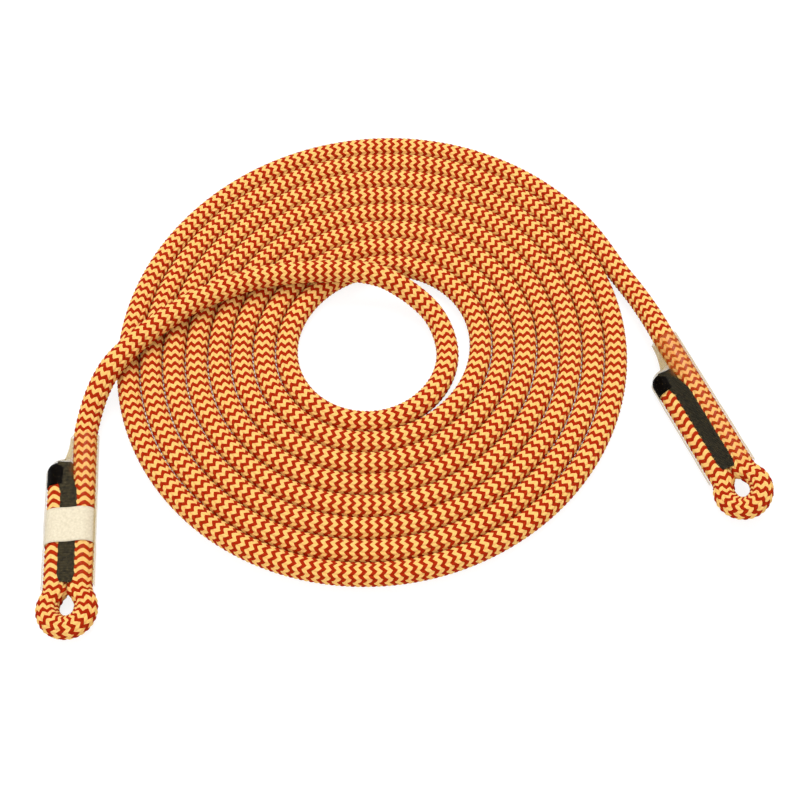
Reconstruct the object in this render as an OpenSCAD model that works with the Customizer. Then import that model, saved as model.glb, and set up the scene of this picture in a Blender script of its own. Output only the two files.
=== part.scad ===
// Coiled rope lanyard with a sewn eye at each end, lying on a floor.
// Millimetres, +Z up. The origin is on the floor at the middle of the coil, +X runs to the right end.

/* [Rope] */
// Diameter of the rope
rope_d = 11; // [9:0.5:13]
// Thickness of the braided cover
cover_wall = 1.8; // [1.2:0.1:2.4]
// Play between pieces that fit into each other
fit_gap = 0.1; // [0.05:0.05:0.2]

/* [Coil] */
// Radius of the spiral's centreline at its start, behind the middle
coil_radius = 38.5; // [34:0.5:46]
// Free gap between neighbouring turns
turn_gap = 0.6; // [0.5:0.1:1]
// Turns counted from behind the middle to where the rope leaves the coil
coil_turns = 8.17; // [6:0.01:9]
// How far the spiral bulges towards its right back and left front
coil_oval = 1.9; // [0:0.1:4]
// How far the loose first turn lies inside the spiral
first_slack = 6; // [4:0.5:9]

/* [Sewn ends] */
// Length of the seam that joins the two legs
seam_l = 60; // [40:1:90]
// Free gap between the two legs
leg_gap = 0.8; // [0.4:0.1:2]
// Length of the single rope inside the sleeve's neck
neck_l = 15.5; // [10:0.5:24]
// Distance from the seam to where the legs part
throat_l = 4.7; // [4:0.1:8]
// Centreline radius of the eye
eye_radius = 8.6; // [8:0.1:14]
// Centreline radius of the bends where the legs part
throat_radius = 9; // [7:0.5:16]
// How much thicker the rope is where it bends round the eye
eye_swell = 0.1; // [0.05:0.05:0.3]

/* [Stitching] */
// Thickness of the thread
thread_d = 1; // [0.6:0.1:1.4]
// Width of the seam across both legs
seam_w = 8.5; // [6:0.5:10]
// Distance from one stitch to the next
stitch_pitch = 3; // [2:0.5:6]

/* [End caps] */
// Length of rope that the cap covers
cap_l = 12; // [8:0.5:18]
// Thickness of the cap's wall
cap_wall = 0.3; // [0.2:0.05:0.35]
// Thickness of the cap's closed end
cap_end = 0.8; // [0.5:0.1:2]

/* [Sleeves] */
// Gap between the sleeve and the rope
sleeve_gap = 0.5; // [0.5:0.05:1]
// Thickness of the clear film
sleeve_wall = 0.4; // [0.3:0.1:1]
// How far the sleeve runs on past the seam
sleeve_over = 3.5; // [1:0.5:4]

/* [Label] */
// Width of the paper band
label_w = 17.6; // [8:0.2:30]
// Thickness of the paper
label_t = 0.2; // [0.1:0.05:0.25]
// Distance of the band's middle from the middle of the seam
label_shift = 3.5; // [-6:0.5:10]

/* [Places of the ends] */
// Left end: the middle of its seam, to the right
left_x = -146.7; // [-170:0.1:-140]
// Left end: the middle of its seam, to the back
left_y = -99.1; // [-120:0.1:-80]
// Left end: the direction in which its eye points
left_turn = -85; // [-100:1:-70]
// Right end: the middle of its seam, to the right
right_x = 160.3; // [155:0.1:190]
// Right end: the middle of its seam, to the back
right_y = -42.9; // [-60:0.1:-30]
// Right end: the direction in which its eye points
right_turn = -67; // [-80:1:-40]
// Right end: how far it is rolled onto its dead leg, so that the other leg is raised
right_roll = 25; // [0:1:40]

/* [Hidden] */

// Route of the crossing, from the inside of the coil over its turns to their edge
crossing_route = [
    [27.5, 20, 7.5],
    [20, 27, 10],
    [11.5, 32.5, 12.5],
    [2.5, 36.5, 15],
    [-7.5, 38.5, 16.5],
    [-18, 39, 17],
    [-30, 39, 17],
    [-43, 38, 17],
    [-57, 36, 17],
    [-71, 32, 17],
    [-84, 26, 17],
    [-96, 19.5, 17],
    [-107, 11, 17],
    [-117, 2, 17]
];
crossing_end = [-126, -8, 17];
crossing_turn = -128;
// Route of the left lead, from the crossing down to the left end
left_route = [
    [-134, -19.5, 16.8],
    [-140, -31.5, 13],
    [-143.5, -42.5, 8.5]
];
// Route of the right lead, from the outside of the coil to the right end
right_route = [
    [129, 44, 5.6],
    [135.4, 32, 6.5],
    [140.6, 19.6, 8.4],
    [144.3, 8.8, 10.4]
];

$fn = 48;
sections_per_turn = 24;
tube_sides = 8;
core_sides = 6;
film_sides = 24;
neck_steps = 6;
first_turn = 0.25;
slack_turn = 0.52;
cut_past = 1;
lap_turn = 0.3;

bore_d = rope_d - 2 * cover_wall;
core_d = bore_d - 2 * fit_gap;
pitch = rope_d + turn_gap;
leg_y = (rope_d + leg_gap) / 2;
seam_end = seam_l / 2;
leg_start = -seam_end - neck_l;
leg_end = seam_end + throat_l;
eye_reach = sqrt(pow(eye_radius + throat_radius, 2) - pow(leg_y + throat_radius, 2));
throat_turn = asin(eye_reach / (eye_radius + throat_radius));
eye_x = leg_end + eye_reach;
cap_r = rope_d / 2 + fit_gap + cap_wall;
label_r = rope_d / 2 + fit_gap;
sleeve_r = rope_d / 2 + sleeve_gap;
leg_z = sleeve_r + sleeve_wall;
stitches = floor(seam_l / stitch_pitch);

cover_red = "OrangeRed";
core_white = "WhiteSmoke";
thread_dark = [0.25, 0.22, 0.14];
cap_black = [0.06, 0.05, 0.05];
paper_cream = [0.90, 0.86, 0.75];
film_clear = [0.95, 0.88, 0.70, 0.35];

function unit(v) = v / norm(v);
function towards(turn) = [cos(turn), sin(turn), 0];

// The spiral of the coil, by turns counted from behind the middle
function slack(t) = first_slack * pow(max(0, slack_turn - t) / (slack_turn - first_turn), 2);
function spiral_angle(t) = 90 - 360 * t;
function spiral_radius(t) = coil_radius + pitch * t + coil_oval * sin(2 * spiral_angle(t)) - slack(t);
function spiral(t) = spiral_radius(t) * towards(spiral_angle(t)) + [0, 0, rope_d / 2];
function spiral_way(t) = unit(spiral(t + 0.001) - spiral(t - 0.001));

coil_times = [for (t = [first_turn : 1 / sections_per_turn : coil_turns]) t];
last_turn = coil_times[len(coil_times) - 1];
coil_in_way = spiral_way(first_turn);
coil_out_way = spiral_way(last_turn);
coil_in = spiral(first_turn) - rope_d * coil_in_way;
coil_out = spiral(last_turn) + rope_d * coil_out_way;
coil_path = concat([coil_in], [for (t = coil_times) spiral(t)], [coil_out]);

// The least gap between the turns, from the tube's sections and the middles between them
function between(path) = [for (i = [1 : len(path) - 1]) (path[i] + path[i - 1]) / 2];
function least_apart(points, skip) = min([
    for (i = [0 : len(points) - 1 - skip])
        for (j = [i + skip : len(points) - 1])
            norm(points[i] - points[j])
]);
coil_gap = least_apart(between(coil_path), sections_per_turn / 2) - rope_d;
echo(str("least gap between turns: ", coil_gap, " mm"));

// The start of a sewn end's leg, in the frame of the whole part
function leg_point(x, y, turn, roll) =
    [x, y, leg_z + 2 * leg_y * sin(roll)]
    + leg_start * towards(turn)
    + leg_y * (2 * cos(roll) - 1) * towards(turn + 90);
left_leg = leg_point(left_x, left_y, left_turn, 0);
right_leg = leg_point(right_x, right_y, right_turn, right_roll);
crossing_path = concat([coil_in], crossing_route, [crossing_end]);
left_path = concat([crossing_end], left_route, [left_leg]);
right_path = concat([coil_out], right_route, [right_leg]);

// Directions of a tube's sections, which are square to the path at both ends
function ways(path, first, last) = [
    for (i = [0 : len(path) - 1])
        i == 0 ? first
        : i == len(path) - 1 ? last
        : unit(unit(path[i + 1] - path[i]) + unit(path[i] - path[i - 1]))
];
coil_ways = ways(coil_path, coil_in_way, coil_out_way);
crossing_ways = ways(crossing_path, -coil_in_way, towards(crossing_turn));
left_ways = ways(left_path, towards(crossing_turn), towards(left_turn));
right_ways = ways(right_path, coil_out_way, towards(right_turn));

// Sections of a tube: polygons with a flat below, whose sides or corners lie on the given radius
function flat_radius(r, sides) = r / cos(180 / sides);
function section(p, way, r, sides) = let(across = unit(cross(way, [0, 0, 1])), up = cross(across, way)) [
    for (k = [0 : sides - 1])
        let(a = 360 * (k + 0.5) / sides) p + r * (cos(a) * across + sin(a) * up)
];
function sections(path, way, r, sides) = [for (i = [0 : len(path) - 1]) section(path[i], way[i], r, sides)];

// Triangles of a skin over sections of n corners each, numbered from at
function skin(count, n, at, outside) = [
    for (i = [0 : count - 2])
        for (k = [0 : n - 1])
            let(a = at + i * n + k, b = at + i * n + (k + 1) % n)
            each (outside ? [[a, b, a + n], [b, b + n, a + n]] : [[a, a + n, b], [b, a + n, b + n]])
];
function fan(n, at, forward) = [
    for (k = [1 : n - 2]) forward ? [at, at + k + 1, at + k] : [at, at + k, at + k + 1]
];
function rim(n, at, inner, forward) = [
    for (k = [0 : n - 1])
        let(a = at + k, b = at + (k + 1) % n, c = inner + k, d = inner + (k + 1) % n)
        each (forward ? [[a, c, b], [b, c, d]] : [[a, b, c], [b, d, c]])
];

module rod(outer) {
    n = len(outer[0]);
    count = len(outer);
    polyhedron(
        [for (s = outer) each s],
        concat(skin(count, n, 0, true), fan(n, 0, true), fan(n, (count - 1) * n, false))
    );
}

module pipe(outer, inner) {
    n = len(outer[0]);
    count = len(outer);
    polyhedron(
        concat([for (s = outer) each s], [for (s = inner) each s]),
        concat(
            skin(count, n, 0, true),
            skin(count, n, count * n, false),
            rim(n, 0, count * n, true),
            rim(n, (count - 1) * n, (2 * count - 1) * n, false)
        )
    );
}

// The rope's two layers along a path
module cover_along(path, way) {
    color(cover_red) pipe(
        sections(path, way, flat_radius(rope_d / 2, tube_sides), tube_sides),
        sections(path, way, flat_radius(bore_d / 2, tube_sides), tube_sides)
    );
}

module core_along(path, way) {
    color(core_white) rod(sections(path, way, core_d / 2, core_sides));
}

module coil_cover() {
    cover_along(coil_path, coil_ways);
}

module coil_core() {
    core_along(coil_path, coil_ways);
}

module crossing_cover() {
    cover_along(crossing_path, crossing_ways);
}

module crossing_core() {
    core_along(crossing_path, crossing_ways);
}

module left_lead_cover() {
    cover_along(left_path, left_ways);
}

module left_lead_core() {
    core_along(left_path, left_ways);
}

module right_lead_cover() {
    cover_along(right_path, right_ways);
}

module right_lead_core() {
    core_along(right_path, right_ways);
}

// A sewn end in its own frame: its middle at the seam's middle, +X towards the eye, the leg from
// the lead on the +Y side and the dead end on the other
module at_left() {
    translate([left_x, left_y, leg_z]) rotate(left_turn) children();
}

module at_right() {
    translate([right_x, right_y, leg_z]) rotate(right_turn)
        translate([0, -leg_y, 0]) rotate([right_roll, 0, 0]) translate([0, leg_y, 0]) children();
}

module straight(from, to, y, outer_d, inner_d) {
    translate([from, y, 0]) rotate([0, 90, 0]) difference() {
        cylinder(d = outer_d, h = to - from);
        if (inner_d > 0)
            translate([0, 0, -cut_past]) cylinder(d = inner_d, h = to - from + 2 * cut_past);
    }
}

module bend(radius, turn, outer_d, inner_d) {
    rotate_extrude(angle = turn) translate([radius, 0]) difference() {
        circle(d = outer_d);
        if (inner_d > 0) circle(d = inner_d);
    }
}

module eye_run(outer_d, inner_d) {
    straight(leg_start, leg_end, leg_y, outer_d, inner_d);
    straight(-seam_end, leg_end, -leg_y, outer_d, inner_d);
    translate([leg_end, leg_y + throat_radius, 0]) rotate(-90)
        bend(throat_radius, throat_turn, outer_d, inner_d);
    translate([leg_end, -leg_y - throat_radius, 0]) rotate(90 - throat_turn)
        bend(throat_radius, throat_turn, outer_d, inner_d);
    loop_turn = throat_turn + lap_turn;
    loop_inner = inner_d > 0 ? inner_d + eye_swell : 0;
    translate([eye_x, 0, 0]) rotate(-90 - loop_turn)
        bend(eye_radius, 180 + 2 * loop_turn, outer_d + eye_swell, loop_inner);
}

// Plates of the given half height whose corners are rounded by r
module rounded(half_w, half_h, r) {
    square([2 * half_w - 2 * r, 2 * half_h], center = true);
    square([2 * half_w, 2 * half_h - 2 * r], center = true);
    for (x = [-1, 1])
        for (y = [-1, 1])
            translate([x * (half_w - r), y * (half_h - r)]) circle(r);
}

// Every stitch is a closed loop of thread through both legs
module seam(play) {
    half_w = seam_w / 2 + play;
    half_h = rope_d / 2 + play;
    thick = thread_d + 2 * play;
    for (i = [0 : stitches - 1])
        translate([(i - (stitches - 1) / 2) * stitch_pitch - thick / 2, 0, 0]) rotate([90, 0, 90])
            linear_extrude(thick) difference() {
                rounded(half_w, half_h, thick);
                square([2 * (half_w - thick), 2 * (half_h - thick)], center = true);
            }
}

module eye_cover() {
    color(cover_red) difference() {
        eye_run(rope_d, bore_d);
        seam(fit_gap);
    }
}

module eye_core() {
    color(core_white) difference() {
        eye_run(core_d, 0);
        seam(fit_gap);
    }
}

module stitching() {
    color(thread_dark) seam(0);
}

// The cap is a cup on the dead end with a rounded closed end
module end_cap() {
    inside = rope_d / 2 + fit_gap;
    deep = cap_l + cap_end + fit_gap;
    rounding = cap_end;
    color(cap_black) difference() {
        translate([cap_l - seam_end, -leg_y, 0]) rotate([0, -90, 0]) rotate_extrude() difference() {
            union() {
                square([cap_r, deep - rounding]);
                square([cap_r - rounding, deep]);
                translate([cap_r - rounding, deep - rounding]) circle(rounding);
            }
            square([inside, cap_l + fit_gap]);
            translate([-cap_r, 0]) square([cap_r, deep]);
        }
        seam(fit_gap);
    }
}

// Outline round both legs
module wrap(r) {
    square([2 * leg_y, 2 * r], center = true);
    for (y = [-leg_y, leg_y])
        translate([y, 0]) circle(r);
}

module label() {
    color(paper_cream) translate([label_shift - label_w / 2, 0, 0]) rotate([90, 0, 90])
        linear_extrude(label_w) difference() {
            wrap(label_r + label_t);
            wrap(label_r);
        }
}

// The film lies round both legs, and its neck closes from the dead end onto the single rope
function ease(u) = u * u * (3 - 2 * u);
cap_top = -seam_end - cap_end - 2 * fit_gap;
neck = [for (i = [0 : neck_steps]) i / neck_steps];
film_x = concat([for (u = neck) leg_start + u * (cap_top - leg_start)], [seam_end + sleeve_over]);
film_y = concat([for (u = neck) leg_y - 2 * leg_y * ease(u)], [-leg_y]);
function film(r) = let(corner = flat_radius(r, film_sides)) [
    for (i = [0 : len(film_x) - 1]) [
        for (k = [0 : film_sides - 1])
            let(a = 360 * (k + 0.5) / film_sides)
            [film_x[i], (cos(a) < 0 ? leg_y : film_y[i]) - corner * cos(a), corner * sin(a)]
    ]
];

module sleeve() {
    color(film_clear) pipe(film(sleeve_r + sleeve_wall), film(sleeve_r));
}

module left_eye_cover() {
    at_left() eye_cover();
}

module left_eye_core() {
    at_left() eye_core();
}

module right_eye_cover() {
    at_right() eye_cover();
}

module right_eye_core() {
    at_right() eye_core();
}

module left_end_cap() {
    at_left() end_cap();
}

module right_end_cap() {
    at_right() end_cap();
}

module left_stitching() {
    at_left() stitching();
}

module right_stitching() {
    at_right() stitching();
}

module left_label() {
    at_left() label();
}

module left_sleeve() {
    at_left() sleeve();
}

module right_sleeve() {
    at_right() sleeve();
}

coil_cover();
coil_core();
crossing_cover();
crossing_core();
left_lead_cover();
left_lead_core();
right_lead_cover();
right_lead_core();
left_eye_cover();
left_eye_core();
right_eye_cover();
right_eye_core();
left_end_cap();
right_end_cap();
left_stitching();
right_stitching();
left_label();
left_sleeve();
right_sleeve();
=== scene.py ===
"""A coiled rope lanyard with a sewn eye at each end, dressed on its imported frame.

Lengths are in millimetres until a mesh is made. A sewn end has its own axes: its origin is at the seam's
middle, x runs to the eye, and z is up from the rope's middle. The standing leg, which comes from the lead,
lies at +y, and the dead leg, which ends under a cap, at -y.
"""

import math
from typing import NamedTuple

import bpy
import numpy as np
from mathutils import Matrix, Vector


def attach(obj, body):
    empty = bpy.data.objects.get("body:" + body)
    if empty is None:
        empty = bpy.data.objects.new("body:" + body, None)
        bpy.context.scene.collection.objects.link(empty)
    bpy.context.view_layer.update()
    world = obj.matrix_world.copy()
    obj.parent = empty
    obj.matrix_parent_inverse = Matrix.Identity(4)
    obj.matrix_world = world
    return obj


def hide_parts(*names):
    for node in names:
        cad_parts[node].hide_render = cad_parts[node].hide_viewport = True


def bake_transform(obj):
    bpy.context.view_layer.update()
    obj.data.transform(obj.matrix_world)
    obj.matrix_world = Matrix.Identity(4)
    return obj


MM = 0.001

# Rope and coil; turns are counted from behind the coil's middle
ROPE_D = 11.0
TURN_PITCH = 11.6
COIL_RADIUS = 38.5  # at no turns
COIL_OVAL = 1.9  # how far the coil is from round
FIRST_TURN = 0.25
LAST_TURN = 8 + 1 / 6
FIRST_SLACK = 6.0  # how far inwards the coil starts
SLACK_TURN = 0.52  # where it has come out to the spiral

# Sewn ends
SEAM_L = 60.0
SEAM_W = 8.5
SEAM_OVER = 2.4  # how far the sewing runs on towards the eye
SEAM_ROUND = 2.6  # how much narrower it gets there, at each side
TOOTH_PITCH = 4.3  # length and height of the waves along the sewing's edges
TOOTH_H = 0.4
LEG_GAP = 0.8  # between the two legs
NECK_L = 15.5  # of the sleeve, past a dead end of full length
THROAT_L = 4.7  # from the seam's end to where the legs part
EYE_RADIUS = 8.6
THROAT_RADIUS = 9.0  # of the bend from each leg into the eye
LEG_Y = (ROPE_D + LEG_GAP) / 2
SEAM_END = SEAM_L / 2
LEG_START = -SEAM_END - NECK_L
LEG_END = SEAM_END + THROAT_L
EYE_MIDDLE = 88.1  # along the rope, from a dead end of full length to the middle of the eye
LEFT_PLACE = (-146.7, -99.1, -85.0, 0.0)  # x, y, turn, and roll onto the dead leg
RIGHT_PLACE = (160.3, -42.9, -67.0, 25.0)
RIGHT_SHORT = 2.0  # how much the right dead end falls short

# Sleeves
FILM_R = 6.4
FILM_RADII = (FILM_R - 0.1, FILM_R - 0.3)
FILM_DIP = 0.7  # how far the film sinks between the legs
FILM_WAVE = 0.1  # height of its unevenness
SLEEVE_OVER = 3.5
WEB_END = -33.0  # where the web beside the neck meets a dead end of full length
WEB_W = (1.2, 4.0)  # how far the web stands out, at the sleeve's end and at the dead end
WEB_EDGE = 0.08  # radius of the web's edge, as a share of the film's
DOME_L = 7.0  # length over which the film rises onto the dead end
FOLD_W = 0.5  # how far the fold along each side stands out
FOLD_H = 1.4  # how far up and down it fades
CLEAR_HAZE = 0.0012
FOLD_HAZE = 0.3
WEB_HAZE = 0.35
LEG_Z = FILM_R

# Caps, label and thread
CAP_L = 12.0
CAP_R = 5.98
CAP_ROUND = 4.45  # rounding of its closed end
CAP_SHOULDER = 3.5  # where that starts
CAP_WAVE = 0.12  # height of its unevenness
LABEL_W = 17.6
LABEL_SHIFT = 3.5
LABEL_RADII = (5.9, 5.78)
LABEL_DIP = 0.5  # how far the label sinks between the legs
THREAD_R = 0.46
THREAD_PITCH = 0.8
THREAD_SIDES = 6
THREAD_Z = 5.15
THREAD_SAG = 0.4  # how far a pass sinks in its middle
THREAD_SUNK = 1.6  # and at both ends

# Routes of the free stretches, from the coil outwards
CROSSING = [
    (27.5, 20, 7.5),
    (20, 27, 10),
    (11.5, 32.5, 12.5),
    (2.5, 36.5, 15),
    (-7.5, 38.5, 16.5),
    (-18, 39, 17),
    (-30, 39, 17),
    (-43, 38, 17),
    (-57, 36, 17),
    (-71, 32, 17),
    (-84, 26, 17),
    (-96, 19.5, 17),
    (-107, 11, 17),
    (-117, 2, 17),
]
CROSSING_END = (-126, -8, 17)
LEFT_LEAD = [(-134, -19.5, 16.8), (-140, -31.5, 13), (-143.5, -42.5, 8.5)]
RIGHT_LEAD = [(129, 44, 5.6), (135.4, 32, 6.5), (140.6, 19.6, 8.4), (144.3, 8.8, 10.4)]

# How far the leads' pieces, and their bends, reach inwards and outwards from the coil's edge
LEFT_CUTS = (30, 20)
RIGHT_CUTS = (4, 44)
LEFT_BEND = (18, 14)
RIGHT_BEND = (2, 32)

# Braid: columns whose strands lean left and right in turn
COLUMNS = 16
COLUMN_STEPS = 3  # faces across a column
STRAND_PITCH = 2.375
ZIGZAG = 0.85  # how far a strand climbs across its column, in pitches
INTERLOCK = 0.2  # how far every second column is moved along, in pitches
CROWN_R = 5.85  # along a strand's middle
SIDE_R = 5.4  # between strands
DIP_R = 5.1  # between columns
LEFT_LEGS_TOP = 67.5  # angle round the rope from which the columns spread on the sewn legs
RIGHT_LEGS_TOP = 87.5
SPREAD = 0.42  # strength of that spread, once and twice round the rope
SPREAD_TWICE = 0.14
LOWEST = 0.02  # the rope is flattened where it would sink into the floor

# Camera, fitted to the photograph
VIEW_TARGET = (11.2, -28.8, 0.0)
VIEW_DISTANCE = 650.0
VIEW_ELEVATION = 61.0
FOCAL_PX = 1274.0
IMAGE_PX = 800
SENSOR = 36.0

# Greys and glow of the floor, and strength of the world
FLOOR_GREY = 0.85  # for the light that falls back on the object
FLOOR_SEEN_GREY = 0.23
FLOOR_GLOW = 0.84
WORLD_LIGHT = 0.58


def towards(turn):
    """Unit vector at a turn in degrees, level with the floor."""
    a = math.radians(turn)
    return np.array([math.cos(a), math.sin(a), 0.0])


def linear(r, g, b):
    """Linear colour of sRGB values from 0 to 255."""
    c = np.array([r, g, b]) / 255
    return (*np.where(c <= 0.04045, c / 12.92, ((c + 0.055) / 1.055) ** 2.4), 1.0)


# Centreline


def spiral(t):
    """Points of the coil at t turns, counted from behind the middle."""
    t = np.atleast_1d(t)
    a = np.pi / 2 - 2 * np.pi * t
    slack = FIRST_SLACK * (np.maximum(0, SLACK_TURN - t) / (SLACK_TURN - FIRST_TURN)) ** 2
    r = COIL_RADIUS + TURN_PITCH * t + COIL_OVAL * np.sin(2 * a) - slack
    return np.stack([r * np.cos(a), r * np.sin(a), np.full_like(r, ROPE_D / 2)], axis=1)


def arc(centre, radius, start, stop, count):
    """Points of an arc in a sewn end's plane, by angles in degrees."""
    a = np.radians(np.linspace(start, stop, count))
    return np.stack([centre[0] + radius * np.cos(a), centre[1] + radius * np.sin(a)], axis=1)


def leg(start, stop, y):
    """Points of a straight leg, a few millimetres apart."""
    x = np.linspace(start, stop, 2 + int(abs(stop - start) / 4))
    return np.stack([x, np.full_like(x, y)], axis=1)


def to_frame(points, place):
    """Points of a sewn end, in the part's frame."""
    x, y, turn, roll = place
    p = np.asarray(points, float)
    if p.shape[1] == 2:
        p = np.column_stack([p, np.zeros(len(p))])
    a = math.radians(roll)
    across = (p[:, 1:2] + LEG_Y) * math.cos(a) - p[:, 2:] * math.sin(a) - LEG_Y
    height = (p[:, 1:2] + LEG_Y) * math.sin(a) + p[:, 2:] * math.cos(a)
    along = p[:, :1] * towards(turn)
    return np.array([x, y, LEG_Z]) + along + across * towards(turn + 90) + height * (0, 0, 1)


def sewn_path(place, short=0.0):
    """Centreline from the dead end, which may fall short, round the eye to the neck of the sleeve."""
    middle = LEG_Y + THROAT_RADIUS
    reach = math.sqrt((EYE_RADIUS + THROAT_RADIUS) ** 2 - middle**2)
    turn = math.degrees(math.asin(reach / (EYE_RADIUS + THROAT_RADIUS)))
    parts = [
        leg(short - SEAM_END, LEG_END, -LEG_Y),
        arc((LEG_END, -middle), THROAT_RADIUS, 90, 90 - turn, 6)[1:],
        arc((LEG_END + reach, 0), EYE_RADIUS, -90 - turn, 90 + turn, 30)[1:],
        arc((LEG_END, middle), THROAT_RADIUS, turn - 90, -90, 6)[1:],
        leg(LEG_END, LEG_START, LEG_Y)[1:],
    ]
    return to_frame(np.vstack(parts), place)


def smooth(points, step):
    """The points' smooth curve, cut into even steps."""
    h = np.linalg.norm(np.diff(points, axis=0), axis=1)
    u = np.r_[0, np.cumsum(h)]
    slope = np.diff(points, axis=0) / h[:, None]
    middle = (slope[:-1] * h[1:, None] + slope[1:] * h[:-1, None]) / (h[:-1] + h[1:])[:, None]
    tangent = np.vstack([slope[:1], middle, slope[-1:]])
    fine = np.arange(0, u[-1], step / 2)
    i = np.clip(np.searchsorted(u, fine, side="right") - 1, 0, len(h) - 1)
    t = ((fine - u[i]) / h[i])[:, None]
    curve = (
        (1 + 2 * t) * (1 - t) ** 2 * points[i]
        + t * (1 - t) ** 2 * h[i, None] * tangent[i]
        + t**2 * (3 - 2 * t) * points[i + 1]
        + t**2 * (t - 1) * h[i, None] * tangent[i + 1]
    )
    along = np.r_[0, np.cumsum(np.linalg.norm(np.diff(curve, axis=0), axis=1))]
    even = np.linspace(0, along[-1], int(along[-1] / step))
    return np.stack([np.interp(even, along, curve[:, k]) for k in range(3)], axis=1)


def crowding(s, length):
    """How close together the strands lie along the rope, closest round the eyes."""
    left_at = [0, 58, 68, 106, 116, 150, 190, 230]
    left = [0.93, 0.93, 0.78, 0.78, 0.88, 0.97, 0.97, 1]
    right_at = [0, 56, 66, 104, 114, 185, 200, 240]
    right = [0.9, 0.9, 0.82, 0.82, 0.88, 0.88, 0.97, 1]
    return np.interp(s, left_at, left) * np.interp(length - s, right_at, right)


class Centreline:
    """The rope's line from the left dead end to the right one, with directions that don't twist."""

    def __init__(self, points, step=0.4):
        self.points = smooth(points, step)
        gaps = np.linalg.norm(np.diff(self.points, axis=0), axis=1)
        self.along = np.r_[0, np.cumsum(gaps)]
        self.length = self.along[-1]
        way = np.gradient(self.points, axis=0)
        way /= np.linalg.norm(way, axis=1)[:, None]
        side = np.zeros_like(way)
        side[0] = np.cross(way[0], (0, 0, 1))
        for k in range(1, len(way)):
            level = side[k - 1] - way[k] * (side[k - 1] @ way[k])
            side[k] = level / np.linalg.norm(level)
        self.side = side
        self.up = np.cross(side, way)
        apart = STRAND_PITCH / 2 * crowding(self.along, self.length)
        self.rings = np.r_[0, np.cumsum(gaps * 2 / (apart[1:] + apart[:-1]))]

    def ring(self, s):
        """Number of the ring of strand crossings at a distance along the line."""
        return int(np.interp(s, self.along, self.rings))

    def at_ring(self, number):
        """Distance along the line to a ring, which may lie between two."""
        return np.interp(number, self.rings, self.along)

    def read(self, values, s):
        """Vectors kept for every point of the line, at distances along it."""
        return np.stack([np.interp(s, self.along, values[:, k]) for k in range(3)], axis=-1)

    def middle(self, s):
        """Points of the line at distances along it."""
        return self.read(self.points, s)

    def around(self, s, angle, radius):
        """Points at the given distances along the line, angles round it and distances from it."""
        out = np.cos(angle)[..., None] * self.read(self.side, s)
        out += np.sin(angle)[..., None] * self.read(self.up, s)
        return self.middle(s) + radius[..., None] * out

    def nearest(self, point):
        """Distance along the line to the place nearest a point."""
        return self.along[np.argmin(np.linalg.norm(self.points - np.asarray(point, float), axis=1))]


def rope_line():
    """The whole rope: left end, left lead, crossing, coil, right lead and right end."""
    turns = spiral(np.arange(FIRST_TURN, LAST_TURN, 1 / 96))
    return Centreline(
        np.vstack(
            [
                sewn_path(LEFT_PLACE),
                LEFT_LEAD[::-1],
                [CROSSING_END],
                CROSSING[::-1],
                turns,
                RIGHT_LEAD,
                sewn_path(RIGHT_PLACE, RIGHT_SHORT)[::-1],
            ]
        )
    )


# Materials


def material(name, colour, roughness):
    """A new material, its nodes, its links and its shader."""
    m = bpy.data.materials.new(name)
    m.use_nodes = True
    shader = m.node_tree.nodes["Principled BSDF"]
    shader.inputs["Base Color"].default_value = colour
    shader.inputs["Roughness"].default_value = roughness
    return m, m.node_tree.nodes, m.node_tree.links, shader


def noise(nodes, links, vector, scale, detail, stretch=(1, 1, 1)):
    """A noise texture whose pattern is stretched along the axes."""
    mapping = nodes.new("ShaderNodeMapping")
    mapping.inputs["Scale"].default_value = stretch
    links.new(vector, mapping.inputs["Vector"])
    texture = nodes.new("ShaderNodeTexNoise")
    texture.inputs["Scale"].default_value = scale
    texture.inputs["Detail"].default_value = detail
    links.new(mapping.outputs["Vector"], texture.inputs["Vector"])
    return texture.outputs["Fac"]


def bump(nodes, links, height, shader, strength, distance):
    """Relief from a height that runs from 0 to 1, with its depth in metres."""
    node = nodes.new("ShaderNodeBump")
    node.inputs["Strength"].default_value = strength
    node.inputs["Distance"].default_value = distance
    links.new(height, node.inputs["Height"])
    links.new(node.outputs["Normal"], shader.inputs["Normal"])


def tinted(nodes, links, factor, dark, light, shader):
    """Colour from dark to light by a factor."""
    ramp = nodes.new("ShaderNodeValToRGB")
    ramp.color_ramp.elements[0].position = 0.3
    ramp.color_ramp.elements[0].color = dark
    ramp.color_ramp.elements[1].position = 0.7
    ramp.color_ramp.elements[1].color = light
    links.new(factor, ramp.inputs["Fac"])
    links.new(ramp.outputs["Color"], shader.inputs["Base Color"])


def yarn(name, dark, light):
    """Filament yarn whose fine fibres run along each strand."""
    m, nodes, links, shader = material(name, light, roughness=0.7)
    shader.inputs["Specular IOR Level"].default_value = 0.05
    strand = nodes.new("ShaderNodeUVMap")
    strand.uv_map = "Strand"
    fibres = noise(nodes, links, strand.outputs["UV"], scale=1.0, detail=3.0, stretch=(7, 0.6, 1))
    tinted(nodes, links, fibres, dark, light, shader)
    bump(nodes, links, fibres, shader, strength=0.5, distance=0.0002)
    return m


def thread_material(name, dark, light):
    """Dull sewing thread with fine fibres."""
    m, nodes, links, shader = material(name, light, roughness=0.7)
    shader.inputs["Specular IOR Level"].default_value = 0.2
    place = nodes.new("ShaderNodeTexCoord").outputs["Object"]
    fibres = noise(nodes, links, place, scale=700.0, detail=4.0)
    tinted(nodes, links, fibres, dark, light, shader)
    bump(nodes, links, fibres, shader, strength=0.4, distance=0.0001)
    return m


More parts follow.
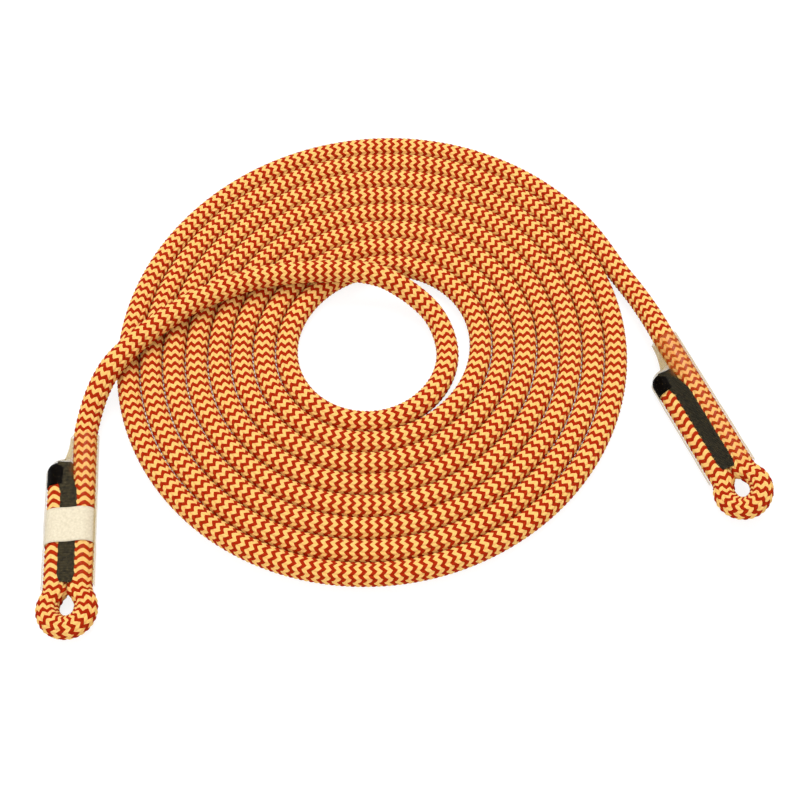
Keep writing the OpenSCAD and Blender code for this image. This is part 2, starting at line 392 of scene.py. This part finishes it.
def cap_material():
    """Black plastic with a fine grain."""
    m, nodes, links, shader = material("CapPlastic", linear(5, 3, 3), roughness=0.5)
    shader.inputs["Specular IOR Level"].default_value = 0.02
    place = nodes.new("ShaderNodeTexCoord").outputs["Object"]
    grain = noise(nodes, links, place, scale=600.0, detail=3.0)
    tinted(nodes, links, grain, linear(2, 1, 1), linear(8, 5, 5), shader)
    bump(nodes, links, grain, shader, strength=0.3, distance=0.0003)
    return m


def label_material():
    """Cream paper with faint fibres."""
    m, nodes, links, shader = material("LabelPaper", linear(232, 221, 196), roughness=0.7)
    place = nodes.new("ShaderNodeTexCoord").outputs["Object"]
    fibres = noise(nodes, links, place, scale=900.0, detail=4.0)
    tinted(nodes, links, fibres, linear(208, 196, 168), linear(226, 215, 190), shader)
    bump(nodes, links, fibres, shader, strength=0.15, distance=0.0001)
    return m


def film_material():
    """Clear film, hazy where it hangs free of the rope, and amber along the standing leg, partly the film's
    own tint and partly painted shade.
    """
    pale, amber = linear(208, 182, 100), linear(220, 122, 36)
    m, nodes, links, shader = material("SleeveFilm", pale, roughness=0.2)
    haze = nodes.new("ShaderNodeAttribute")
    haze.attribute_name = "Haze"
    links.new(haze.outputs["Fac"], shader.inputs["Alpha"])
    # The amber along the standing leg is partly the film's own tint and partly painted shade
    amber_and_shade = nodes.new("ShaderNodeAttribute")
    amber_and_shade.attribute_name = "AmberAndShade"
    tinted(nodes, links, amber_and_shade.outputs["Fac"], pale, amber, shader)
    place = nodes.new("ShaderNodeTexCoord").outputs["Object"]
    creases = noise(nodes, links, place, scale=260.0, detail=3.0)
    bump(nodes, links, creases, shader, strength=0.35, distance=0.0006)
    return m


def looked_at(nodes, links):
    """1 where the camera, a reflection or a clear film looks, 0 for the light on the object."""
    path = nodes.new("ShaderNodeLightPath")
    seen = path.outputs["Is Camera Ray"]
    for ray in ("Is Glossy Ray", "Is Transmission Ray"):
        either = nodes.new("ShaderNodeMath")
        either.operation = "MAXIMUM"
        links.new(seen, either.inputs[0])
        links.new(path.outputs[ray], either.inputs[1])
        seen = either.outputs["Value"]
    return seen


def seen_or_not(nodes, links, lighting, seen):
    """One value for the light that falls on the object, and another for what is looked at."""
    switch = nodes.new("ShaderNodeMapRange")
    switch.inputs["To Min"].default_value = lighting
    switch.inputs["To Max"].default_value = seen
    links.new(looked_at(nodes, links), switch.inputs["Value"])
    return switch.outputs["Result"]


def floor_material():
    """White where it is looked at, with the soft shadow kept."""
    m, nodes, links, shader = material("Floor", (FLOOR_GREY, FLOOR_GREY, FLOOR_GREY, 1), roughness=0.9)
    shader.inputs["Specular IOR Level"].default_value = 0.0
    shader.inputs["Emission Color"].default_value = (1, 1, 1, 1)
    links.new(seen_or_not(nodes, links, FLOOR_GREY, FLOOR_SEEN_GREY), shader.inputs["Base Color"])
    links.new(seen_or_not(nodes, links, 0.0, FLOOR_GLOW), shader.inputs["Emission Strength"])
    return m


# Meshes


def mesh_object(name, points, faces, materials):
    """An object from points in millimetres and faces as rows of point numbers."""
    mesh = bpy.data.meshes.new(name)
    mesh.from_pydata((np.asarray(points) * MM).tolist(), [], np.asarray(faces).tolist())
    mesh.shade_smooth()
    for m in materials:
        mesh.materials.append(m)
    obj = bpy.data.objects.new(name, mesh)
    bpy.context.collection.objects.link(obj)
    return obj


def grid_faces(rows, sides):
    """Faces of a tube that has a number of rows and of points round each row."""
    r, k = np.meshgrid(np.arange(rows - 1), np.arange(sides), indexing="ij")
    n = (k + 1) % sides
    corners = [r * sides + k, r * sides + n, (r + 1) * sides + n, (r + 1) * sides + k]
    return np.stack(corners, axis=-1).reshape(-1, 4)


def squeeze(s, length):
    """The share of its thickness that the rope keeps: least under the caps, nearly all along the seams."""
    inside = np.minimum(s, length - s)
    capped = np.interp(inside, [0, 1, 2, 3], [0.36, 0.17, 0.1, 0.08])
    seam = np.interp(inside, [60, 66, 110, 117, 175, 185], [0.02, 0, 0, 0.02, 0.02, 0])
    covered = np.where(s < length / 2, CAP_L, CAP_L - RIGHT_SHORT)
    return 1 - np.where(inside < covered, capped, seam)


def swell(s, angle, length):
    """How far the rope bulges towards the other leg up to the eye's hole, and thins beside the hole."""
    inside = np.where(s < length / 2, s, length - s + RIGHT_SHORT)
    parting = np.minimum(inside, 2 * EYE_MIDDLE - inside)
    bulge_at = [59, 62, 66, 66.8, 69.5, 72, 75]
    bulge = np.interp(parting, bulge_at, [0, 0.8, 0.9, -1.0, -1.2, -0.8, -0.4])
    inwards = np.where(s < length / 2, np.pi, -np.radians(RIGHT_PLACE[3]))
    return bulge * np.maximum(0, np.cos(angle - inwards)) ** 2


def lay(s, length):
    """The braid's turn about the rope, and how much its columns spread on top of the sewn legs."""
    turn_at = [0, 60, 115]
    turn = np.interp(s, turn_at, [-22.5, -22.5, 0]) + np.interp(length - s, turn_at, [-5, -5, 0])
    left_at = [0, 58, 66, 111, 117, 155, 165]
    spread = np.interp(s, left_at, [1, 1, 0, 0, 1, 1, 0]) + np.interp(length - s, [0, 56, 64], [1, 1, 0])
    return np.radians(turn), spread


def braid(name, line, first, last, materials):
    """The rope's cover between two rings of strand crossings, with every strand's floats as raised pads."""
    sides = COLUMNS * COLUMN_STEPS
    rows = np.arange(first, last + 1)[:, None]
    k = np.arange(sides)[None, :]
    column = k // COLUMN_STEPS
    edge = k % COLUMN_STEPS == 0
    part = (k % COLUMN_STEPS) / COLUMN_STEPS
    rise = ZIGZAG * np.where(column % 2 == 0, part, 1 - part)
    rise = rise + INTERLOCK * np.where(edge, 0.5, column % 2)
    s = line.at_ring(rows + 2 * rise)
    turn, spread = lay(s, line.length)
    angle = 2 * np.pi * k / sides + turn
    top = np.where(s < line.length / 2, LEFT_LEGS_TOP, RIGHT_LEGS_TOP)
    off = angle - np.radians(top)
    angle = angle + spread * (SPREAD * np.sin(off) + SPREAD_TWICE * np.sin(2 * off))
    radius = np.where(edge, DIP_R, np.where(rows % 2 == 0, CROWN_R, SIDE_R)) * squeeze(s, line.length)
    points = line.around(s, angle, radius + swell(s, angle, line.length))
    points[..., 2] = np.maximum(points[..., 2], LOWEST)
    obj = mesh_object(name, points.reshape(-1, 3), grid_faces(len(rows), sides), materials)
    paint_strands(obj.data, rows, k)
    return obj


def paint_strands(mesh, rows, k):
    """Each strand's colour, the coordinates of its fibres and the creases between strands."""
    strand = (rows[:-1] + 1) // 2 + 0 * k
    mesh.polygons.foreach_set("material_index", (strand % 2).astype(np.int32).ravel())
    step = k % COLUMN_STEPS
    # Each strand takes its fibres from a place of its own in the noise
    shift = 7.3 * (k // COLUMN_STEPS) + 3.7 * (strand % 11)
    uv = np.zeros((*strand.shape, 4, 2), np.float32)
    for corner, (over, on) in enumerate([(0, 0), (0, 1), (1, 1), (1, 0)]):
        uv[..., corner, 0] = (rows[:-1] + over) * STRAND_PITCH / 2
        uv[..., corner, 1] = (step + on) * STRAND_PITCH / COLUMN_STEPS + shift
    mesh.uv_layers.new(name="Strand").data.foreach_set("uv", uv.ravel())
    ends = np.zeros(len(mesh.edges) * 2, np.int32)
    mesh.edges.foreach_get("vertices", ends)
    sides = COLUMNS * COLUMN_STEPS
    row, side = np.divmod(ends.reshape(-1, 2), sides)
    round_it = row[:, 0] == row[:, 1]
    sharp = np.where(round_it, (row[:, 0] + rows[0, 0]) % 2 == 1, side[:, 0] % COLUMN_STEPS == 0)
    mesh.attributes.new("sharp_edge", "BOOLEAN", "EDGE").data.foreach_set("value", sharp)


def outline(y_near, r_near, y_far, r_far, dip=0.0):
    """Points round two circles side by side and the lines that join them, across the legs."""
    apart = max(y_near - y_far, 1e-6)
    lean = math.asin(min(0.98, max(-0.98, (r_near - r_far) / apart)))
    near = np.linspace(-np.pi / 2 - lean, np.pi / 2 + lean, 25)
    far = np.linspace(np.pi / 2 + lean, 3 * np.pi / 2 - lean, 25)
    near_arc = np.stack([y_near + r_near * np.cos(near), r_near * np.sin(near)], axis=1)
    far_arc = np.stack([y_far + r_far * np.cos(far), r_far * np.sin(far)], axis=1)
    t = np.linspace(0, 1, 9)[1:-1, None]
    sag = np.hstack([np.zeros_like(t), dip * np.sin(np.pi * t) ** 2])
    top = near_arc[-1] + t * (far_arc[0] - near_arc[-1]) - sag
    under = far_arc[-1] + t * (near_arc[0] - far_arc[-1]) + sag
    return np.vstack([near_arc, top, far_arc, under])


def stations(xs, outlines):
    """Rows of points of a tube, from its outlines at the given places along a sewn end."""
    rows = [np.column_stack([np.full(len(o), x), o]) for x, o in zip(xs, outlines)]
    return np.array(rows)


def shell(outside, inside):
    """Points and faces of a tube with a wall, open at both ends."""
    rows, sides, _ = outside.shape
    points = np.vstack([outside.reshape(-1, 3), inside.reshape(-1, 3)])
    outer = grid_faces(rows, sides)
    inner = grid_faces(rows, sides)[:, ::-1] + rows * sides
    k = np.arange(sides)
    n = (k + 1) % sides
    other = rows * sides
    last = (rows - 1) * sides
    first_rim = np.stack([n, k, k + other, n + other], axis=1)
    last_rim = np.stack([k + last, n + last, n + last + other, k + last + other], axis=1)
    return points, np.vstack([outer, inner, first_rim, last_rim])


def waves(points, seed):
    """A smooth unevenness from -1 to 1, the same at every run."""
    p = points + seed
    return (
        np.sin(0.55 * p[..., 0] + 0.4 * p[..., 1])
        + np.sin(0.31 * p[..., 0] - 0.7 * p[..., 2] + 2.0)
        + np.sin(0.9 * p[..., 1] + 0.8 * p[..., 2] + 0.21 * p[..., 0])
    ) / 3


def web_edge(x, web_end):
    """How far the film spreads past the standing leg at x, and its far edge's share of the full radius."""
    neck = np.clip((x - LEG_START) / (web_end - LEG_START), 0, 1)
    dome = np.sqrt(1 - np.clip((web_end + DOME_L - x) / DOME_L, 0, 1) ** 2)
    web = WEB_W[0] + (WEB_W[1] - WEB_W[0]) * neck**2
    spread = web + (2 * LEG_Y - web) * dome
    return spread, WEB_EDGE + (1 - WEB_EDGE) * dome


def film_looks(points, web_end, leg_tint_and_shade, banded):
    """The film's haze, and how amber it is, at points of a sleeve; along the standing leg both are partly
    the film's tint and partly painted shade. Over the label it is clear.
    """
    x, y, z = points.T
    web = np.clip((web_end + 3 - x) / 3, 0, 1) * np.clip((0.8 - y) / 0.5, 0, 1)
    # The fold is haziest a little above its middle
    fold = np.clip((np.abs(y) - LEG_Y - 5.5) / 0.5, 0, 1) * np.exp(-(((z - 0.9) / 2.3) ** 2))
    # Along the standing leg the haze and the painted shade narrow and fade towards the eye
    inner_edge = np.interp(x, [-24, -16], [-0.5, 4.0])
    leg_tint_shade_mask = np.clip((y - inner_edge) / 1.5, 0, 1) * np.interp(x, [-26, -14], [1, 0.45])
    if banded:
        leg_tint_shade_mask[np.abs(x - LABEL_SHIFT) < LABEL_W / 2 + 0.8] = 0
    haze = CLEAR_HAZE + leg_tint_and_shade * leg_tint_shade_mask + FOLD_HAZE * fold + WEB_HAZE * web
    # Amber on the standing leg, partly the film's tint and partly painted shade, kept off the fold and the
    # web
    amber_and_shade = np.clip(3 * leg_tint_shade_mask, 0, 1) * (1 - fold) * (1 - web)
    return haze, amber_and_shade


def sleeve(name, place, short, seed, leg_tint_and_shade, banded, film):
    """Clear film that drapes over both legs and closes onto the single rope with a flat web."""
    web_end = WEB_END + short
    web_xs = np.linspace(LEG_START, web_end, 11)
    dome_xs = web_end + DOME_L * np.linspace(0, 1, 15)[1:] ** 1.5
    leg_xs = np.linspace(dome_xs[-1], SEAM_END + SLEEVE_OVER, 36)[1:]
    xs = np.r_[web_xs, dome_xs, leg_xs]
    spread, full = web_edge(xs, web_end)
    walls = []
    for r in FILM_RADII:
        far_y = LEG_Y - r - spread + r * full
        tube = stations(xs, [outline(LEG_Y, r, y, r * f, FILM_DIP * f) for y, f in zip(far_y, full)])
        bulge = FILM_WAVE * waves(tube, seed)[..., None] * (0.3 + 0.7 * full[:, None, None])
        tube[..., 1:] += bulge * np.sign(tube[..., 1:])
        fold = np.exp(-((tube[..., 2] / FOLD_H) ** 2)) * (np.abs(tube[..., 1]) > LEG_Y)
        tube[..., 1] += FOLD_W * fold * np.sign(tube[..., 1])
        walls.append(tube)
    points, faces = shell(*walls)
    obj = mesh_object(name, to_frame(points, place), faces, [film])
    for title, value in zip(("Haze", "AmberAndShade"), film_looks(points, web_end, leg_tint_and_shade, banded)):
        attribute = obj.data.attributes.new(title, "FLOAT", "POINT")
        attribute.data.foreach_set("value", value.astype(np.float32))
    return obj


def label(name, place, paper):
    """A paper band round both legs, over the seam."""
    xs = LABEL_SHIFT + np.linspace(-LABEL_W / 2, LABEL_W / 2, 13)
    walls = [stations(xs, [outline(LEG_Y, r, -LEG_Y, r, LABEL_DIP)] * len(xs)) for r in LABEL_RADII]
    points, faces = shell(*walls)
    return mesh_object(name, to_frame(points, place), faces, [paper])


def end_cap(name, place, short, plastic):
    """A cup with a rounded closed end over the dead end."""
    sides = 40
    shoulder = CAP_SHOULDER + short
    flat = CAP_R - CAP_ROUND
    # Distances from the seam's start and radii, from the open rim to the closed end
    profile = [(CAP_L, 5.7), (CAP_L, 5.92), (CAP_L - 0.4, CAP_R)]
    profile += [(x, CAP_R) for x in np.linspace(CAP_L - 1.5, shoulder, 7)]
    for a in np.radians(np.linspace(10, 90, 9)):
        profile.append((shoulder - CAP_ROUND * math.sin(a), flat + CAP_ROUND * math.cos(a)))
    profile += [(shoulder - CAP_ROUND, 0.8), (shoulder - CAP_ROUND, 0.02)]
    a = np.linspace(0, 2 * np.pi, sides, endpoint=False)
    circles = [np.column_stack([-LEG_Y + r * np.cos(a), r * np.sin(a)]) for _, r in profile]
    tube = stations([x - SEAM_END for x, _ in profile], circles)
    tube[..., 0] += CAP_WAVE * waves(tube * 2, 3.0)
    faces = grid_faces(len(profile), sides)[:, ::-1]
    return mesh_object(name, to_frame(tube.reshape(-1, 3), place), faces, [plastic])


def thread_path(x0, x1, side):
    """One pass of thread across both legs, sunk into the rope at both ends and taut between them."""
    t = np.linspace(-1, 1, 15)
    half = SEAM_W / 2 - 0.1
    from_cap = x0 + SEAM_END
    # The seam is rounded at its end, and its edges are ragged
    rounding = SEAM_ROUND * np.clip((x0 - SEAM_END + 1.5) / (SEAM_OVER + 1.5), 0, 1) ** 2
    ragged = 2 * TOOTH_H * abs(((x0 + x1) / 2 / TOOTH_PITCH) % 1 - 0.5) + rounding
    # Beside the cap the sewing lies more on the dead leg
    reach = np.interp(from_cap, [0, 8, 16], [0.9, 1.4, half]) - ragged
    back = np.interp(from_cap, [0, 11, 16], [6.3, 5.8, half + 0.4]) - ragged
    y = -back + (back + reach) * (t + 1) / 2
    over_cap = np.interp(from_cap, [12, 14], [0.3, 0]) * np.clip(-y / 2 - 1, 0, 1)
    sunk = THREAD_SUNK * np.clip(np.abs(t) - 0.86, 0, 1) / 0.14
    z = THREAD_Z + over_cap - THREAD_SAG * (1 - t**2) - sunk
    return np.column_stack([x0 + (x1 - x0) * (t + 1) / 2, y, side * z])


def stitching(name, place, short, thread):
    """Rows of dense zigzag sewing on both faces of the seam."""
    count = int((SEAM_L + SEAM_OVER - short) / THREAD_PITCH)
    points, faces = [], []
    a = np.linspace(0, 2 * np.pi, THREAD_SIDES, endpoint=False)[None, :, None]
    for side in (1, -1):
        for i in range(count):
            start = short - SEAM_END + i * THREAD_PITCH
            path = thread_path(start, start + THREAD_PITCH, side)[:: 1 if i % 2 else -1]
            way = np.gradient(path, axis=0)
            way /= np.linalg.norm(way, axis=1)[:, None]
            up = np.cross(way, (1, 0, 0))
            up /= np.linalg.norm(up, axis=1)[:, None]
            out = np.cross(up, way)
            tube = path[:, None] + THREAD_R * (np.cos(a) * out[:, None] + np.sin(a) * up[:, None])
            faces.append(grid_faces(len(path), THREAD_SIDES) + len(points) * len(path) * THREAD_SIDES)
            points.append(tube.reshape(-1, 3))
    return mesh_object(name, to_frame(np.vstack(points), place), np.vstack(faces), [thread])


# Scene


def make_camera():
    """The camera, level from left to right and straight in front of the part."""
    data = bpy.data.cameras.new("Camera")
    data.sensor_fit = "HORIZONTAL"
    data.sensor_width = SENSOR
    data.lens = FOCAL_PX * SENSOR / IMAGE_PX
    data.clip_start, data.clip_end = 0.01, 20
    camera = bpy.data.objects.new("Camera", data)
    bpy.context.collection.objects.link(camera)
    e = math.radians(VIEW_ELEVATION)
    back = np.array([0, -math.cos(e), math.sin(e)])
    camera.location = (np.array(VIEW_TARGET) + VIEW_DISTANCE * back) * MM
    camera.rotation_euler = (math.pi / 2 - e, 0, 0)
    bpy.context.scene.camera = camera


def make_floor():
    """A wide plain floor just under the part."""
    half = 6000.0
    corners = [(-half, -half, 0), (half, -half, 0), (half, half, 0), (-half, half, 0)]
    floor = mesh_object("Floor", corners, [(0, 1, 2, 3)], [floor_material()])
    floor.location.z = -0.1 * MM


def lamp(name, place, target, size, power):
    """A square soft lamp, with places and size in metres and power in watts."""
    data = bpy.data.lights.new(name, "AREA")
    data.size = size
    data.energy = power
    obj = bpy.data.objects.new(name, data)
    bpy.context.collection.objects.link(obj)
    obj.location = place
    way = np.array(target) - np.array(place)
    obj.rotation_euler = Vector(way).to_track_quat("-Z", "Y").to_euler()


def make_light():
    """A white world and two soft lamps, one behind the part and one in front."""
    scene = bpy.context.scene
    scene.view_settings.view_transform = "Standard"
    world = bpy.data.worlds.new("World")
    world.use_nodes = True
    nodes, links = world.node_tree.nodes, world.node_tree.links
    background = nodes["Background"]
    background.inputs["Color"].default_value = (1, 1, 1, 1)
    links.new(seen_or_not(nodes, links, WORLD_LIGHT, 1.0), background.inputs["Strength"])
    scene.world = world
    lamp("Key", place=(0.1, 0.7, 1.3), target=(0, 0, 0), size=0.9, power=14.5)
    lamp("Fill", place=(-0.4, -0.9, 1.2), target=(0, 0, 0), size=1.4, power=9.5)


class SewnEnd(NamedTuple):
    """What differs between the two sewn ends."""

    side: str
    place: tuple
    short: float  # how much the dead end falls short
    bend_from: float  # along the rope, where the lead's bend would start; the script makes no bend
    bend_to: float
    seed: float  # of the film's unevenness
    leg_tint_and_shade: float  # how hazy and amber the film is along the standing leg, partly the film's tint and partly painted shade
    banded: bool  # whether it has a label
    thread: bpy.types.Material


def dress_end(end, line, ropes, plastic, film):
    """A lead and its sewn end: their rope, with a sleeve, a cap and the stitching; only the cap and the
    stitching go on the end's body.
    """
    lead, body = f"{end.side}_lead", f"{end.side}_end"
    title = end.side.capitalize()
    lead_rope, end_rope = ropes[f"{title}LeadRope"], ropes[f"{title}EndRope"]
    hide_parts(f"{lead}_cover", f"{lead}_core")
    line.middle(end.bend_from) * MM
    line.middle(end.bend_to) * MM
    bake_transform(lead_rope)
    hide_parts(f"{end.side}_eye_cover", f"{end.side}_eye_core")
    wrap = sleeve(f"{title}Sleeve", end.place, end.short, end.seed, end.leg_tint_and_shade, end.banded, film)
    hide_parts(f"{end.side}_sleeve")
    for piece in (end_rope, wrap):
        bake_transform(piece)
    cap = end_cap(f"{title}EndCap", end.place, end.short, plastic)
    seam = stitching(f"{title}Stitching", end.place, end.short, end.thread)
    for piece, node, slot in ((cap, "end_cap", "cap_plastic"), (seam, "stitching", "seam_thread")):
        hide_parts(f"{end.side}_{node}")
        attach(piece, body)


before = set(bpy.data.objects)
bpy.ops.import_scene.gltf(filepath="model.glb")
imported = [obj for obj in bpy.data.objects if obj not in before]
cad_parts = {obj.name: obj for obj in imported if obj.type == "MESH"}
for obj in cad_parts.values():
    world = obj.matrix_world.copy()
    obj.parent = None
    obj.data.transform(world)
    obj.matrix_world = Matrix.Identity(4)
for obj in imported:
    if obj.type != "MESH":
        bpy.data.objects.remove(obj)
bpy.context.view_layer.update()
make_camera()
make_floor()
make_light()

line = rope_line()
yellow = yarn("YellowYarn", linear(236, 176, 86), linear(252, 213, 136))
red = yarn("RedYarn", linear(142, 27, 3), linear(192, 47, 6))

# The rope's pieces, parted at rings of strand crossings
left_edge = line.nearest(CROSSING_END)
right_edge = line.nearest(spiral(LAST_TURN)[0])
left_cuts = [left_edge - LEFT_CUTS[1], left_edge + LEFT_CUTS[0]]
right_cuts = [right_edge - RIGHT_CUTS[0], right_edge + RIGHT_CUTS[1]]
rings = [line.ring(cut) for cut in (0, *left_cuts, *right_cuts, line.length)]
names = ["LeftEndRope", "LeftLeadRope", "CoilRope", "RightLeadRope", "RightEndRope"]
ropes = {n: braid(n, line, a, b, [yellow, red]) for n, a, b in zip(names, rings, rings[1:])}

coil_from, coil_to = line.at_ring(rings[2]), line.at_ring(rings[3])
coil_points = line.middle(np.arange(coil_from, coil_to, 2.0)) * MM
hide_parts("coil_cover", "coil_core", "crossing_cover", "crossing_core")
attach(ropes["CoilRope"], "coil")

plastic, film = cap_material(), film_material()
left_end = SewnEnd(
    side="left",
    place=LEFT_PLACE,
    short=0.0,
    bend_from=left_edge + LEFT_BEND[0],
    bend_to=left_edge - LEFT_BEND[1],
    seed=0.0,
    # Haze along the standing leg, partly the film's tint and partly painted shade
    leg_tint_and_shade=0.06,
    banded=True,
    thread=thread_material("LeftThread", linear(26, 22, 11), linear(66, 58, 36)),
)
right_end = SewnEnd(
    side="right",
    place=RIGHT_PLACE,
    short=RIGHT_SHORT,
    bend_from=right_edge - RIGHT_BEND[0],
    bend_to=right_edge + RIGHT_BEND[1],
    seed=40.0,
    # Haze along the standing leg, partly the film's tint and partly painted shade
    leg_tint_and_shade=0.13,
    banded=False,
    thread=thread_material("RightThread", linear(17, 14, 6), linear(48, 42, 24)),
)
for end in (left_end, right_end):
    dress_end(end, line, ropes, plastic, film)

band = label("LeftLabel", LEFT_PLACE, label_material())
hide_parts("left_label")
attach(band, "left_end")
